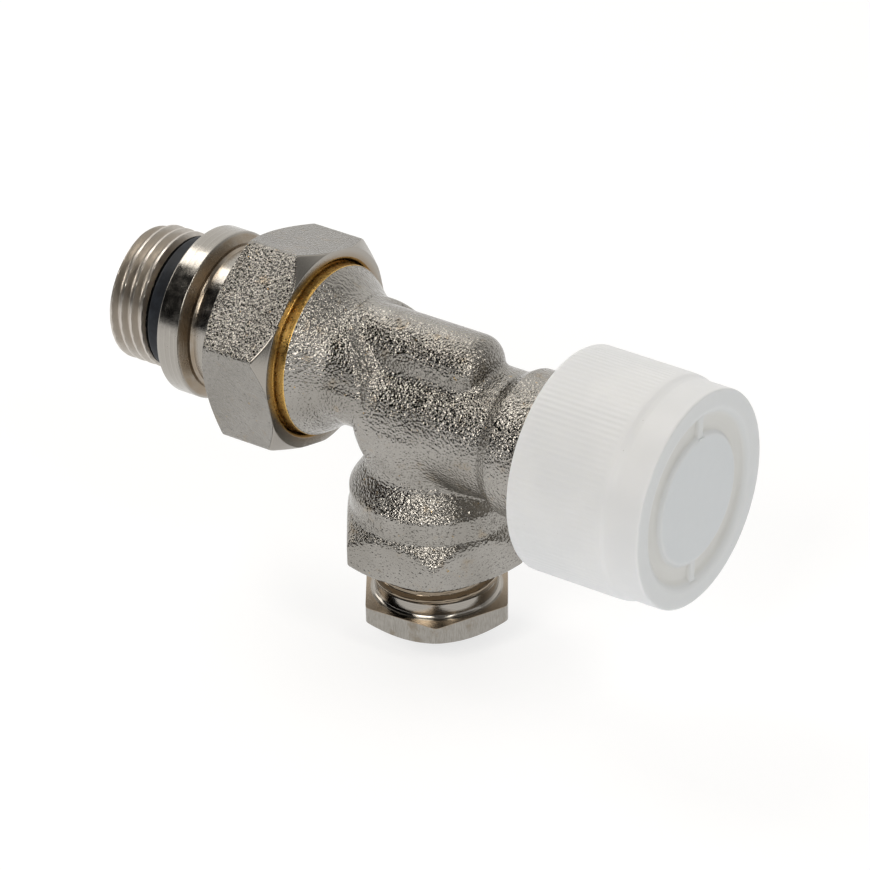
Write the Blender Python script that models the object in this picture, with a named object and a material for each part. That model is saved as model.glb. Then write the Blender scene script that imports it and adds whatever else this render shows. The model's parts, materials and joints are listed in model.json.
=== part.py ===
"""Axial radiator valve: union tail, forged body, push-pin insert, ribbed hand cap, compression nut.

Run with Blender 4.5: blender --background --python part.py
Frame: the origin is the centre of the tail collar's sealing face on the union axis. +X runs from
the radiator thread to the hand cap, +Z up; the pipe port points down. Lengths are in millimetres:
the root empty's scale makes them metres. Rest pose: the insert shut, the union tight.
"""

import math

import bmesh
import bpy
from mathutils import Vector

METRES = 0.001             # one millimetre, the root empty's scale
ROUND = 32                 # sides of a large turned piece
SMALL = 16                 # sides of a small turned piece
FIT = 0.3                  # gap between pieces that touch

# Driving dimensions
HEAD_Z = -4.9              # the head axis lies below the union axis
PORT_X = 40.1              # the port axis, measured from the sealing face
TAIL_THREAD_R = 10.4       # G 1/2
UNION_THREAD_R = 13.2      # G 3/4
GAS_PITCH = 1.814          # 14 turns to the inch
HEAD_THREAD_R = 14.9       # M30 x 1.5
PIPE_THREAD_R = 9.4
NUT_FLATS = 30.0
PORT_FLATS = 25.75
PORT_TURN = 33.5           # degrees from -Y to the first corner of both port hexagons
PIPE_NUT_FLATS = 21.0
PIPE_BORE_R = 7.8          # takes a 15 mm pipe
COLLAR_R = 12.85
COLLAR_LENGTH = 3.8
NECK_R = 10.7
TAIL_BORE_R = 6.9
SPIGOT_R = 8.9
MOUTH_R = SPIGOT_R + FIT
WATERWAY_R = 7.0
UNION_NECK_R = 9.95
CHAMBER_R = 9.8            # outside of the valve chamber, about the head axis
COLUMN_R = 9.7             # outside of the port column
CHANNEL_TOP = 10.05        # top of the forged return channel
CHANNEL_HALF_WIDTH = 5.5
FLANGE_X = 70.9            # the insert's flange, sunk into the head's front face
SEAT_X = 46.5
SEAT_HOLE_R = 5.0
CAP_RIM_X = 64.1
CAP_FACE_X = 86.0
CAP_R = 17.1
STEM_R = 1.5
PIN_TIP_X = 79.0

# Colour, metallic and roughness of each material
FINISHES = {
    "nickel": ((0.60, 0.57, 0.52), 1.0, 0.32),
    "brass": ((0.72, 0.50, 0.22), 1.0, 0.30),
    "steel": ((0.58, 0.58, 0.58), 1.0, 0.25),
    "rubber": ((0.02, 0.02, 0.022), 0.0, 0.60),
    "white_plastic": ((0.78, 0.79, 0.79), 0.0, 0.45),
}


def clear_scene():
    for item in list(bpy.data.objects):
        bpy.data.objects.remove(item, do_unlink=True)


def finish(name):
    """One Principled material for each finish."""
    if name in bpy.data.materials:
        return bpy.data.materials[name]
    colour, metallic, roughness = FINISHES[name]
    material = bpy.data.materials.new(name)
    material.use_nodes = True
    shader = material.node_tree.nodes["Principled BSDF"]
    shader.inputs["Base Color"].default_value = (*colour, 1.0)
    shader.inputs["Metallic"].default_value = metallic
    shader.inputs["Roughness"].default_value = roughness
    return material


def body_frame(name, location, parent=None):
    """An empty on a moving body's axis; location is given in the object's own frame."""
    empty = bpy.data.objects.new(name + "_frame", None)
    bpy.context.collection.objects.link(empty)
    start = Vector(parent["origin"]) if parent else Vector((0, 0, 0))
    empty["origin"] = location
    empty.parent = parent
    empty.location = Vector(location) - start
    if parent is None:
        empty.scale = (METRES, METRES, METRES)
    return empty


def place(name, mesh, frame, material=None, smooth=True):
    """Link a mesh as a named sub-part; without a material it is a hidden cutter."""
    made = bpy.data.objects.new(name, mesh)
    bpy.context.collection.objects.link(made)
    made.parent = frame
    if material:
        mesh.materials.append(finish(material))
    else:
        made.hide_render = True
        made.display_type = "WIRE"
    if smooth:
        mesh.shade_smooth()
        mesh.set_sharp_from_angle(angle=math.radians(30))
    return made


def mesh_of(name, work):
    """Store a bmesh as a mesh with its faces pointing out."""
    bmesh.ops.recalc_face_normals(work, faces=work.faces)
    mesh = bpy.data.meshes.new(name)
    work.to_mesh(mesh)
    work.free()
    return mesh


def across(axis, along, radius, angle, centre=(0.0, 0.0, 0.0)):
    """A point at a distance along an axis, and at a radius and angle round it."""
    u, v = radius * math.cos(angle), radius * math.sin(angle)
    point = Vector((along, u, v)) if axis == "X" else Vector((u, v, along))
    return point + Vector(centre)


def turned(name, outline, frame, material=None, axis="X", centre=(0, 0, 0), sides=ROUND, phase=0.0):
    """A solid of revolution from a closed outline of (along, radius) points.

    phase turns the corners by that part of a side, so that crossing bores share no corner.
    """
    work = bmesh.new()
    rings = []
    for along, radius in outline:
        if radius == 0:
            rings.append([work.verts.new(across(axis, along, 0, 0, centre))] * sides)
        else:
            angles = [math.tau * (i + phase) / sides for i in range(sides)]
            rings.append([work.verts.new(across(axis, along, radius, angle, centre)) for angle in angles])
    for ring, after in zip(rings, rings[1:] + rings[:1]):
        for i in range(sides):
            corners = (ring[i], ring[(i + 1) % sides], after[(i + 1) % sides], after[i])
            corners = list(dict.fromkeys(corners))
            if len(corners) > 2:
                work.faces.new(corners)
    return place(name, mesh_of(name, work), frame, material)


def lofted(name, sections, frame, material=None):
    """A solid through matching closed sections, capped at both ends."""
    work = bmesh.new()
    rings = [[work.verts.new(point) for point in section] for section in sections]
    for ring, after in zip(rings, rings[1:]):
        for i in range(len(ring)):
            j = (i + 1) % len(ring)
            work.faces.new((ring[i], ring[j], after[j], after[i]))
    work.faces.new(rings[0])
    work.faces.new(rings[-1])
    return place(name, mesh_of(name, work), frame, material)


def hexagon(name, flats, start, end, frame, axis="X", centre=(0, 0, 0), turn=0.0):
    """A hexagonal prism; turn is the angle of a corner from -Y, in degrees."""
    corner = flats / math.sqrt(3)
    first = math.pi - math.radians(turn) if axis == "X" else math.radians(turn) - math.pi / 2
    sections = [[across(axis, along, corner, first + i * math.pi / 3, centre) for i in range(6)]
                for along in (start, end)]
    return lofted(name, sections, frame)


def box(name, low, high, frame):
    """A rectangular cutter between two corners."""
    sections = [[Vector((x, low[1], low[2])), Vector((x, high[1], low[2])),
                 Vector((x, high[1], high[2])), Vector((x, low[1], high[2]))]
                for x in (low[0], high[0])]
    return lofted(name, sections, frame)


def combine(target, operation, *tools):
    """Boolean modifiers, one for each tool."""
    for tool in tools:
        step = target.modifiers.new(tool.name, "BOOLEAN")
        step.operation = operation
        step.object = tool
        step.solver = "EXACT"


def thread(start, turns, pitch, crest, depth):
    """Outline points of a run of thread, drawn as rings, from one root to the next."""
    points = []
    for turn in range(turns):
        root = start + turn * pitch
        side = 0.35 * pitch
        points += [(root, crest - depth), (root + side, crest), (root + pitch - side, crest)]
    points.append((start + turns * pitch, crest - depth))
    return points


def ring(name, along, major, minor, frame, material, sides=SMALL):
    """An O-ring of round section about the X axis of its frame."""
    section = 6
    outline = [(along + minor * math.cos(math.tau * i / section),
                major + minor * math.sin(math.tau * i / section)) for i in range(section)]
    return turned(name, outline, frame, material, sides=sides)


# Union tail

def make_tail(frame):
    """One-piece tail: radiator thread, sealing collar, neck, snap ring groove and spigot."""
    end = -10.4
    seal_seat_r = 9.0
    recess = 0.3
    key_start, key_end, key_flats = 6.0, 14.0, 11.9
    outline = [(end, TAIL_BORE_R + 0.5), (end, TAIL_THREAD_R)]
    outline += thread(end - 0.72, 4, GAS_PITCH, TAIL_THREAD_R, 0.95)[2:]
    outline += [(-3.6, seal_seat_r), (recess, seal_seat_r), (recess, TAIL_THREAD_R + 0.2)]
    outline += [(0.0, TAIL_THREAD_R + 0.2), (0.0, COLLAR_R - 0.4), (0.4, COLLAR_R),
                (COLLAR_LENGTH - 0.3, COLLAR_R), (COLLAR_LENGTH, COLLAR_R - 0.3), (4.6, 11.2), (5.1, NECK_R)]
    outline += [(12.8, NECK_R), (12.8, 9.9), (14.4, 9.9), (14.4, NECK_R), (15.2, NECK_R)]
    outline += [(15.2, SPIGOT_R), (17.0, SPIGOT_R), (17.0, 7.75), (19.0, 7.75), (19.0, SPIGOT_R),
                (22.0, SPIGOT_R), (22.5, SPIGOT_R - 0.5), (22.5, TAIL_BORE_R)]
    outline += [(key_end, TAIL_BORE_R), (key_end, 5.7), (key_start, 5.7), (key_start, TAIL_BORE_R),
                (end + 0.5, TAIL_BORE_R)]
    tail = turned("tailpiece", outline, frame, "nickel")
    key = hexagon("tail_key_hole", key_flats, key_start - 1, key_end + 1, frame)
    combine(tail, "DIFFERENCE", key)

    turned("radiator_seal_ring",
           [(-3.7, 9.6), (-3.7, 10.0), (-3.4, 10.3), (-0.5, 10.3), (-FIT, 10.1), (-FIT, 9.3), (-3.5, 9.3)],
           frame, "rubber")
    snap = turned("union_snap_ring", [(13.1, 10.2), (13.1, 11.9), (14.1, 11.9), (14.1, 10.2)],
                  frame, "steel")
    gap = box("snap_ring_gap", (12.5, -1.5, -13.0), (14.5, 1.5, -9.0), frame)
    combine(snap, "DIFFERENCE", gap)
    ring("union_o_ring", 18.0, 8.48, 0.43, frame, "rubber", ROUND)


def make_union_nut(frame):
    """Hexagon nut held on the tail by the snap ring and screwed on the body's outer thread."""
    back, front = 9.9, 21.6
    back_face_r, front_face_r = 14.6, 15.3
    corner = NUT_FLATS / math.sqrt(3)
    bore = UNION_THREAD_R + FIT
    back_hole = NECK_R + FIT
    outline = [(back, back_hole), (back, back_face_r), (back + 1.5, corner + 0.01),
               (front - 2.0, corner + 0.01), (front, front_face_r), (front, bore + 0.3),
               (front - 0.3, bore), (12.8, bore), (12.8, back_hole)]
    nut = turned("union_nut", outline, frame, "nickel")
    flats = hexagon("union_nut_flats", NUT_FLATS, back - 1, front + 1, frame, turn=17.0)
    combine(nut, "INTERSECT", flats)


# Valve body

def channel_sections():
    """Sections of the return channel's rib: straight, rounded off, then sunk into the chamber."""
    straight_end, end_radius, foot = 46.5, 4.0, -3.0
    sections = []
    for x, drop in [(29.0, 0.0), (straight_end, 0.0)] + [
            (straight_end + end_radius * math.sin(math.radians(a)), 0.0) for a in (25, 45, 62, 78)] + [
            (straight_end + end_radius + 0.4, 4.5)]:
        reach = min(max(0.0, x - straight_end), 0.98 * end_radius)
        radius = CHANNEL_HALF_WIDTH - end_radius + math.sqrt(end_radius ** 2 - reach ** 2)
        centre_z = CHANNEL_TOP - CHANNEL_HALF_WIDTH - drop
        turns = [math.pi * i / 11 for i in range(12)]
        arc = [Vector((x, radius * math.cos(turn), centre_z + radius * math.sin(turn))) for turn in turns]
        sections.append([Vector((x, radius, foot - drop)), *arc, Vector((x, -radius, foot - drop))])
    return sections


def make_valve_body(frame):
    """The forging: union end, chamber, head thread, port column and hexagon, return channel."""
    head = (0, 0, HEAD_Z)
    port = (PORT_X, 0, 0)
    body = turned("valve_body",
                  [(15.5, 0), (15.5, 12.4), (16.2, UNION_THREAD_R), (21.0, UNION_THREAD_R), (21.4, 12.9),
                   (23.05, 12.9), (26.6, 10.2), (27.6, UNION_NECK_R), (33.0, UNION_NECK_R), (33.6, 9.4),
                   (33.6, 0)],
                  frame, "nickel")
    chamber = turned("body_chamber",
                     [(31.5, 0), (31.5, 8.8), (32.5, CHAMBER_R), (53.8, CHAMBER_R), (55.0, 10.3),
                      (56.5, 11.2), (61.5, 11.2), (63.0, 14.2), (63.7, HEAD_THREAD_R),
                      (70.2, HEAD_THREAD_R), (71.0, 14.0), (71.0, 0)],
                     frame, centre=head)
    corner = PORT_FLATS / math.sqrt(3) + 0.01
    column = turned("body_column",
                    [(HEAD_Z, 0), (HEAD_Z, COLUMN_R), (-13.2, COLUMN_R), (-15.6, 12.1), (-16.2, 12.3),
                     (-17.7, 12.3), (-21.9, corner), (-27.4, corner), (-27.9, corner - 0.9), (-27.9, 0)],
                    frame, axis="Z", centre=port)
    flats = hexagon("body_hexagon_flats", PORT_FLATS, -29.0, 0.0, frame, "Z", port, PORT_TURN)
    combine(column, "INTERSECT", flats)
    rib = lofted("body_channel_rib", channel_sections(), frame)

    union_bore = turned("body_union_bore",
                        [(15.0, 0), (15.0, MOUTH_R), (22.9, MOUTH_R), (23.6, WATERWAY_R),
                         (31.0, WATERWAY_R), (31.0, 0)], frame)
    lip = 0.8
    flange_seat = FLANGE_X - FIT
    head_bore = turned("body_head_bore",
                       [(34.5, 0), (34.5, 6.0), (SEAT_X - 2.0, 6.0), (SEAT_X - 2.0, SEAT_HOLE_R),
                        (SEAT_X, SEAT_HOLE_R), (SEAT_X, SEAT_HOLE_R + lip),
                        (SEAT_X - 0.5, SEAT_HOLE_R + lip + 0.5), (SEAT_X - 0.5, 7.5), (58.0, 7.5),
                        (58.0, 9.6), (flange_seat, 9.6), (flange_seat, 11.3), (71.5, 11.3), (71.5, 0)],
                       frame, centre=head)
    socket = PIPE_THREAD_R + FIT
    port_bore = turned("body_port_bore",
                       [(HEAD_Z, 0), (HEAD_Z, 5.5), (-12.5, 5.5), (-12.5, PIPE_BORE_R),
                        (-14.9, PIPE_BORE_R), (-16.8, socket), (-27.5, socket), (-28.2, socket + 0.7),
                        (-28.2, 0)],
                       frame, axis="Z", centre=port, phase=0.5)
    channel = turned("body_channel", [(25.0, 0), (25.0, 2.9), (49.0, 2.9), (49.0, 0)],
                     frame, centre=(0, 0, 5.3), sides=SMALL, phase=0.4)
    link = turned("body_channel_link", [(-1.0, 0), (-1.0, 2.2), (3.8, 2.2), (3.8, 0)],
                  frame, axis="Z", centre=(48.45, 0, 0), sides=SMALL, phase=0.4)
    combine(body, "UNION", chamber, column, rib)
    combine(head_bore, "UNION", union_bore, port_bore, channel, link)
    combine(body, "DIFFERENCE", head_bore)


# Insert, screwed into the body's head

def make_insert(frame):
    """Brass housing, its body seal, the gland and the pin's seal; all fixed to the body."""
    key = 19.0
    corner = key / math.sqrt(3) + 0.01
    thread_r = 9.6 - FIT
    housing = turned("insert_housing",
                     [(54.0, 2.6), (54.0, 6.6), (54.6, 7.2), (55.3, 7.2), (55.3, 6.05), (57.1, 6.05),
                      (57.1, 7.2), (58.3, 7.2), (58.3, thread_r), (FLANGE_X, thread_r), (FLANGE_X, corner),
                      (74.4, corner), (75.0, 10.0), (75.0, 5.6), (69.5, 5.6), (69.5, 4.6), (58.0, 4.6),
                      (58.0, STEM_R + FIT), (55.2, STEM_R + FIT), (55.2, 2.6)],
                     frame, "brass")
    flats = hexagon("insert_flats", key, 53.0, 76.0, frame)
    combine(housing, "INTERSECT", flats)
    ring("insert_o_ring", 56.2, 6.8, 0.45, frame, "rubber", ROUND)
    turned("gland_washer", [(69.8, STEM_R + FIT), (69.8, 5.3), (70.5, 5.3), (70.5, STEM_R + FIT)],
           frame, "brass", sides=SMALL)
    ring("pin_o_ring", 71.9, 2.35, 0.55, frame, "rubber")
    gland_key = 11.0
    gland = turned("gland_nut",
                   [(70.8, 3.2), (70.8, 5.3), (75.3, 5.3), (75.3, 6.36), (77.6, 6.36), (78.0, 5.9),
                    (78.0, STEM_R + FIT), (73.2, STEM_R + FIT), (73.2, 3.2)],
                   frame, "brass", sides=SMALL)
    gland_flats = hexagon("gland_flats", gland_key, 70.0, 79.0, frame)
    combine(gland, "INTERSECT", gland_flats)


def make_spindle(frame):
    """The sliding train: pin, stem, disc stack and the clip that the spring pushes."""
    hub = 1.2
    hole = hub + FIT
    turned("pressure_pin",
           [(66.8, 0), (66.8, STEM_R), (PIN_TIP_X - 0.4, STEM_R), (PIN_TIP_X, 1.0), (PIN_TIP_X, 0)],
           frame, "steel", sides=SMALL)
    turned("valve_stem",
           [(44.2, 0), (44.2, hub), (50.7, hub), (50.7, 2.2), (51.4, 2.2), (51.4, STEM_R),
            (64.7, STEM_R), (64.7, 1.1), (65.7, 1.1), (65.7, STEM_R), (66.5, STEM_R), (66.5, 0)],
           frame, "steel", sides=SMALL)
    nut = turned("disc_nut", [(44.9, hole), (44.9, 2.9), (46.5, 2.9), (46.5, hole)],
                 frame, "brass", sides=SMALL)
    nut_flats = hexagon("disc_nut_flats", 5.0, 44.0, 47.0, frame)
    combine(nut, "INTERSECT", nut_flats)
    face = SEAT_X + FIT
    turned("seat_washer", [(face, hole), (face, 5.7), (face + 0.2, 5.9), (48.5, 5.9), (48.5, hole)],
           frame, "rubber", sides=SMALL)
    turned("disc_holder",
           [(48.8, hole), (48.8, 6.2), (47.4, 6.2), (47.4, 6.8), (50.0, 6.8), (50.4, 6.4), (50.4, hole)],
           frame, "brass", sides=SMALL)
    clip = turned("spring_clip", [(64.95, 1.4), (64.95, 3.9), (65.45, 3.9), (65.45, 1.4)],
                  frame, "steel", sides=SMALL)
    slot = box("spring_clip_slot", (64.5, -0.9, 0.0), (66.0, 0.9, 5.0), frame)
    combine(clip, "DIFFERENCE", slot)


def make_spring(frame):
    """Compression spring between the housing's floor and the clip, with closed ends."""
    start, end, wire, coil_r = 58.75, 64.2, 0.4, 3.2
    turns, steps = 5.0, 12
    count = int(turns * steps)
    curve = bpy.data.curves.new("return_spring", "CURVE")
    curve.dimensions = "3D"
    curve.bevel_depth = wire
    curve.bevel_resolution = 1
    curve.use_fill_caps = True
    line = curve.splines.new("POLY")
    line.points.add(count)
    closed_turns, closed_pitch = 0.75, 0.9
    open_turns = turns - 2 * closed_turns
    open_length = end - start - 2 * closed_turns * closed_pitch
    for i, point in enumerate(line.points):
        turn = i / steps
        opened = min(max(turn - closed_turns, 0.0), open_turns)
        along = start + closed_pitch * (turn - opened) + open_length * opened / open_turns
        point.co = (*across("X", along, coil_r, math.tau * turn), 1.0)
    made = bpy.data.objects.new("return_spring", curve)
    curve.materials.append(finish("steel"))
    bpy.context.collection.objects.link(made)
    made.parent = frame


def make_cap(frame):
    """Hand cap: threaded skirt, end wall with a ring-shaped recess, boss that pushes the pin."""
    bore = HEAD_THREAD_R + 0.4
    outline = [(CAP_RIM_X, bore + 0.4), (CAP_RIM_X, CAP_R - 0.3), (CAP_RIM_X + 0.4, CAP_R), (79.0, 17.0),
               (80.8, 16.6), (82.3, 16.3), (85.5, 16.6), (CAP_FACE_X, 16.4)]
    outline += [(CAP_FACE_X, 13.5), (84.6, 13.2), (84.6, 10.0), (CAP_FACE_X - 0.2, 9.7),
                (CAP_FACE_X - 0.2, 0)]
    outline += [(PIN_TIP_X + FIT, 0), (PIN_TIP_X + FIT, 3.2), (82.4, 3.6), (82.4, 14.2), (73.0, 14.6),
                (72.6, bore), (CAP_RIM_X + 0.4, bore)]
    cap = turned("hand_cap", outline, frame, "white_plastic")
    bridges = [box("cap_bridge_" + side, low, high, frame) for side, low, high in
               (("top", (84.2, -0.9, 9.2), (CAP_FACE_X - 0.1, 0.9, 13.9)),
                ("bottom", (84.2, -0.9, -13.9), (CAP_FACE_X - 0.1, 0.9, -9.2)))]
    combine(cap, "UNION", *bridges)


# Compression joint at the port

def make_pipe_nut(frame):
    """Male compression nut, screwed part of the way into the port."""
    top, flange_top, bottom = -22.9, -35.0, -38.6
    corner = PIPE_NUT_FLATS / math.sqrt(3) + 0.01
    plain_r = PIPE_THREAD_R - 0.1
    outline = [(top, PIPE_BORE_R + 0.9), (top, PIPE_THREAD_R - 0.5), (top - 0.5, PIPE_THREAD_R),
               (-32.4, PIPE_THREAD_R), (-32.7, plain_r), (flange_top, plain_r), (flange_top, corner),
               (bottom + 1.0, corner), (bottom, 10.4), (bottom, PIPE_BORE_R + 0.4),
                (bottom + 0.4, PIPE_BORE_R), (top - 0.9, PIPE_BORE_R)]
    nut = turned("pipe_nut", outline, frame, "nickel", axis="Z")
    flats = hexagon("pipe_nut_flats", PIPE_NUT_FLATS, bottom - 1, top + 1, frame, "Z", turn=PORT_TURN)
    combine(nut, "INTERSECT", flats)


def make_olive(frame):
    """Brass cutting ring between the nut's end and the cone in the port."""
    turned("olive",
           [(-22.6, PIPE_BORE_R), (-22.6, 8.2), (-21.4, 9.2), (-20.4, 9.2), (-19.2, 8.2),
            (-19.2, PIPE_BORE_R)],
           frame, "brass", axis="Z")


def main():
    clear_scene()
    head = (0.0, 0.0, HEAD_Z)
    port = (PORT_X, 0.0, 0.0)
    tail = body_frame("tail", (0.0, 0.0, 0.0))
    union = body_frame("union_nut", (0.0, 0.0, 0.0), tail)
    body = body_frame("valve_body", (0.0, 0.0, 0.0), tail)
    insert = body_frame("insert", head, body)
    spindle = body_frame("spindle", head, body)
    cap = body_frame("hand_cap", head, spindle)
    olive = body_frame("olive", port, body)
    pipe_nut = body_frame("pipe_nut", port, olive)

    make_tail(tail)
    make_union_nut(union)
    make_valve_body(body)
    make_insert(insert)
    make_spring(insert)
    make_spindle(spindle)
    make_cap(cap)
    make_olive(olive)
    make_pipe_nut(pipe_nut)


main()
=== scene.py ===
"""Looks of the axial radiator valve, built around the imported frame.

Every length in the making functions is in millimetres, in the frame's own axes: the origin is the
centre of the tail collar's sealing face, +X runs to the hand cap and the pipe port points down.
build() turns millimetres into metres. The forging is an implicit surface, turned pieces are
profiles swept round their axis, and threads, ribs and hexagons are laid over those profiles.
"""

import json
import math

import bmesh
import bpy
import numpy as np
from mathutils import Matrix, Vector


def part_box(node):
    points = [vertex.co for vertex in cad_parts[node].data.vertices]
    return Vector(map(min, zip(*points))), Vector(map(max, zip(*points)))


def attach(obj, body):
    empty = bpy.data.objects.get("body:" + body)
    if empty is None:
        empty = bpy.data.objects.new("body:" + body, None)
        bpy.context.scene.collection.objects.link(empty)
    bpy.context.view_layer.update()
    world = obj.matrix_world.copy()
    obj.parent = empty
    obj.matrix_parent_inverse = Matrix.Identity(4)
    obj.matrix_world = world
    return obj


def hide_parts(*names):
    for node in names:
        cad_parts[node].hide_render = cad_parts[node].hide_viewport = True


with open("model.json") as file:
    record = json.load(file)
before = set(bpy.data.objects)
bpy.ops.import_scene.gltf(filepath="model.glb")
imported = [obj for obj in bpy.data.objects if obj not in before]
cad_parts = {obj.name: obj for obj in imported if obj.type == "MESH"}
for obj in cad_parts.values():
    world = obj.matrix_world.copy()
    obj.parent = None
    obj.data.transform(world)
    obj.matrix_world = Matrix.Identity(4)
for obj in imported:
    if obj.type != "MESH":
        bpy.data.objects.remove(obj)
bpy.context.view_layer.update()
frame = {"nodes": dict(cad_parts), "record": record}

MM = 0.001
TURN = 2 * math.pi

# Places taken from the frame, in millimetres
HEAD_Z = 1000 * (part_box("hand_cap")[0].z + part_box("hand_cap")[1].z) / 2
PORT_X = 1000 * (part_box("olive")[0].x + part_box("olive")[1].x) / 2
NUT_DROP = 4.6          # the pipe nut, screwed right out, still clears the floor
FLOOR_Z = 1000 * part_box("pipe_nut")[0].z - NUT_DROP
HEAD = (0.0, 0.0, HEAD_Z)
PORT = (PORT_X, 0.0, 0.0)

# Threads: crest radius and pitch
TAIL_THREAD_R, GAS_PITCH = 10.4, 1.814
UNION_THREAD_R = 13.2
HEAD_THREAD_R, FINE_PITCH = 14.9, 1.5
PIPE_THREAD_R = 9.4

# Hexagons: a corner's angle measured from -Y, and the sizes of the nuts
PORT_TURN = math.radians(33.5)       # both hexagons at the port
UNION_TURN = math.radians(17.0)      # the union nut
PIPE_NUT_FLATS = 21.0
NUT_FLATS, NUT_FRONT, NUT_FACE_R = 30.0, 21.6, 15.3
CHAMFER = 2.0                        # length of the union nut's front chamfer at its corners

# The hand cap: its face, its disc inside the ring-shaped recess, and the recess itself
CAP_FACE, CAP_DISC_X, CAP_DISC_R = 86.0, 85.8, 9.5
RECESS_START, RECESS_R = 84.0, 13.7

FORGING_STEP = 0.35                  # grid of the implicit surface
FORGING_LOW, FORGING_HIGH = (21.5, -16.0, -28.8), (63.8, 16.0, 13.4)
SHARP_FORGING, SHARP_NUT, SHARP_CAP = 50.0, 30.0, 32.0      # crease angles in degrees


# ---------------------------------------------------------------- shapes

def smooth(value):
    """0 below 0, 1 above 1 and a soft step between."""
    value = np.clip(value, 0.0, 1.0)
    return value * value * (3 - 2 * value)


def soft_min(a, b, blend):
    """The smaller of two values, rounded off where they are closer than blend."""
    near = np.maximum(blend - np.abs(a - b), 0.0) / blend
    return np.minimum(a, b) - near * near * blend / 4


def soft_max(a, b, blend):
    """The larger of two values, filled up where they are closer than blend."""
    return -soft_min(-a, -b, blend)


def to_flat(angle):
    """Angle to the middle of the nearest hexagon flat, for an angle measured from a corner."""
    from_corner = (angle + math.pi / 6) % (math.pi / 3) - math.pi / 6
    return math.pi / 6 - np.abs(from_corner)


def filleted(outline, cut=0.15, steps=3):
    """A closed outline of (along, radius) points with its corners rounded."""
    corners = [np.array(point, float) for point in outline]
    points = []
    for i, here in enumerate(corners):
        if here[1] <= 0:
            points.append(here)
            continue
        before, after = corners[i - 1] - here, corners[(i + 1) % len(corners)] - here
        long_before, long_after = np.linalg.norm(before), np.linalg.norm(after)
        start = here + before * min(cut / long_before, 0.45)
        end = here + after * min(cut / long_after, 0.45)
        for t in np.linspace(0.0, 1.0, steps + 1):
            points.append((1 - t) ** 2 * start + 2 * t * (1 - t) * here + t * t * end)
    return points


def dense(points, step, low, high, above=0.0):
    """Add points where an outline runs between low and high along the axis, outside a radius."""
    result = []
    for here, after in zip(points, points[1:] + points[:1]):
        result.append(here)
        inside = all(low <= p[0] <= high and p[1] >= above for p in (here, after))
        count = int(np.linalg.norm(after - here) / step) if inside else 0
        result += [here + (after - here) * k / (count + 1) for k in range(1, count + 1)]
    return result


def build(name, vertices, faces, material, body, slot, replaced=(), crease=35.0):
    """A closed mesh from points in millimetres, riding on a body of the frame."""
    mesh = bpy.data.meshes.new(name)
    mesh.from_pydata((np.asarray(vertices, float) * MM).tolist(), [], faces)
    work = bmesh.new()
    work.from_mesh(mesh)
    bmesh.ops.remove_doubles(work, verts=work.verts, dist=1e-7)
    bmesh.ops.dissolve_degenerate(work, edges=work.edges, dist=1e-8)
    bmesh.ops.recalc_face_normals(work, faces=work.faces)
    work.to_mesh(mesh)
    work.free()
    mesh.shade_smooth()
    mesh.set_sharp_from_angle(angle=math.radians(crease))
    mesh.materials.append(material)
    made = bpy.data.objects.new(name, mesh)
    bpy.context.scene.collection.objects.link(made)
    weighted = made.modifiers.new("even_normals", "WEIGHTED_NORMAL")
    weighted.keep_sharp = True
    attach(made, body)
    if replaced:
        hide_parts(*replaced)


def swept(outline, sides, axis="X", centre=(0, 0, 0), shape=None):
    """Vertices and faces of a closed outline swept round an axis.

    shape(along, radius, angle) lays threads, ribs or flats over the plain sweep.
    """
    along, radius = np.array(outline, float).T
    angle = np.arange(sides) * TURN / sides
    along, radius, angle = np.broadcast_arrays(along[:, None], radius[:, None], angle[None, :])
    if shape:
        along, radius = shape(along, radius, angle)
    across, over = radius * np.cos(angle), radius * np.sin(angle)
    order = (along, across, over) if axis == "X" else (across, over, along)
    vertices = np.stack(order, -1).reshape(-1, 3) + np.array(centre)
    rows = len(outline)
    here = np.arange(rows)[:, None] * sides + np.arange(sides)[None, :]
    after = np.roll(here, -1, axis=0)
    faces = np.stack((here, np.roll(here, -1, 1), np.roll(after, -1, 1), after), -1).reshape(-1, 4)
    return vertices, faces.tolist()


def thread(start, end, pitch, crest, depth, fade=0.6):
    """A right-handed thread cut into the outside between two places along the axis."""
    flank_end, flank_length = 0.43, 0.34      # shares of the pitch, from the middle of the groove
    outside = crest - 0.3

    def shape(along, radius, angle):
        from_groove = np.abs(((along - start) / pitch - angle / TURN) % 1.0 - 0.5)
        flank = np.clip((flank_end - from_groove) / flank_length, 0, 1)
        groove = depth * np.cos(flank * math.pi / 2)
        run = smooth((along - start) / fade) * smooth((end - along) / fade)
        return along, np.where(radius > outside, radius - groove * run, radius)
    return shape


def flats(across_flats, first, above, soft=0.12):
    """Hexagon flats cut into the outside above a radius; first is the angle of one corner."""
    corner_cut, corner_blend = 0.12, 0.3

    def shape(along, radius, angle):
        limit = across_flats / 2 / np.cos(to_flat(angle - first))
        limit = soft_min(limit, across_flats / math.sqrt(3) - corner_cut, corner_blend)
        cut = soft_min(radius, limit, soft)
        return along, np.where(radius > above, cut, radius)
    return shape


def both(*shapes):
    """Several shapes laid over a sweep, one after the other."""
    def shape(along, radius, angle):
        for one in shapes:
            along, radius = one(along, radius, angle)
        return along, radius
    return shape


# ---------------------------------------------------------------- the forging

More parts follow.
